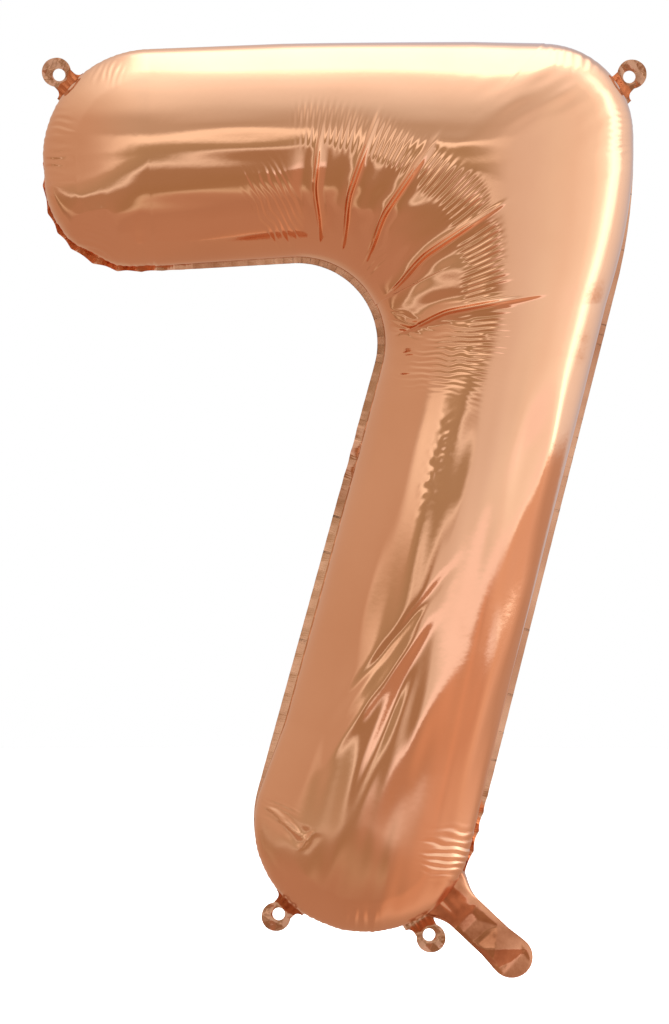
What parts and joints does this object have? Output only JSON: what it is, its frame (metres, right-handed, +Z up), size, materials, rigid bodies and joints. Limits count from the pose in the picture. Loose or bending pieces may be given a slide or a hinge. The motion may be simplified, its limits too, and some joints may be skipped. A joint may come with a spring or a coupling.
{
  "type": "foil number balloon",
  "caption": "Inflated foil balloon in the shape of the numeral seven, with punched hanging tabs, a flat filling tail and a self-sealing film valve.",
  "frame": {"origin": "middle of the whole balloon's box, in the plane of the welded seam", "axes": "+Z up the balloon as it hangs, +X to the right as the numeral is read, -Y towards the reader; the seam lies in Y = 0"},
  "size_m": [0.5889, 0.2128, 0.9111],
  "materials": {
    "rose_gold_foil": "bright mirror-like metallised film, rose gold",
    "valve_film": "clear soft polyethylene film"
  },
  "bodies": {
    "balloon": {"front_foil": "rose_gold_foil", "back_foil": "rose_gold_foil", "welded_rim": "rose_gold_foil"},
    "top_left_hanger": {"top_left_tab": "rose_gold_foil"},
    "top_right_hanger": {"top_right_tab": "rose_gold_foil"},
    "bottom_left_hanger": {"bottom_left_tab": "rose_gold_foil"},
    "bottom_middle_hanger": {"bottom_middle_tab": "rose_gold_foil"},
    "tail": {"tail_front_ply": "rose_gold_foil", "tail_back_ply": "rose_gold_foil", "valve_neck_front": "valve_film", "valve_neck_back": "valve_film"},
    "valve_front_flap": {"valve_front_film": "valve_film"},
    "valve_back_flap": {"valve_back_film": "valve_film"}
  },
  "joints": [
    {"name": "top_left_tab_fold", "type": "hinge", "parent": "balloon", "child": "top_left_hanger", "pos_m": [-0.27027, 0, 0.41637], "axis": [-0.7071, 0, -0.7071], "range_deg": [-80, 80], "stiffness_Nm_per_rad": 0.0002},
    {"name": "top_right_tab_fold", "type": "hinge", "parent": "balloon", "child": "top_right_hanger", "pos_m": [0.26937, 0, 0.41447], "axis": [-0.7071, 0, 0.7071], "range_deg": [-80, 80], "stiffness_Nm_per_rad": 0.0002},
    {"name": "bottom_left_tab_fold", "type": "hinge", "parent": "balloon", "child": "bottom_left_hanger", "pos_m": [-0.05638, 0, -0.38508], "axis": [0.7071, 0, -0.7071], "range_deg": [-80, 80], "stiffness_Nm_per_rad": 0.0002},
    {"name": "bottom_middle_tab_fold", "type": "hinge", "parent": "balloon", "child": "bottom_middle_hanger", "pos_m": [0.07753, 0, -0.40541], "axis": [0.8572, 0, 0.515], "range_deg": [-80, 80], "stiffness_Nm_per_rad": 0.0002},
    {"name": "tail_fold", "type": "hinge", "parent": "balloon", "child": "tail", "pos_m": [0.11536, 0, -0.39032], "axis": [0.6871, 0, 0.7266], "range_deg": [-80, 80], "stiffness_Nm_per_rad": 0.0005},
    {"name": "valve_front_open", "type": "hinge", "parent": "balloon", "child": "valve_front_flap", "pos_m": [0.11485, -0.00015, -0.38984], "axis": [0.6871, 0, 0.7266], "range_deg": [0, 8], "stiffness_Nm_per_rad": 0.0002},
    {"name": "valve_back_open", "type": "hinge", "parent": "balloon", "child": "valve_back_flap", "pos_m": [0.11485, 0.00015, -0.38984], "axis": [0.6871, 0, 0.7266], "range_deg": [-8, 0], "stiffness_Nm_per_rad": 0.0002}
  ],
  "couplings": [
    {"joint": "valve_back_open", "follows": "valve_front_open", "ratio": -1}
  ]
}
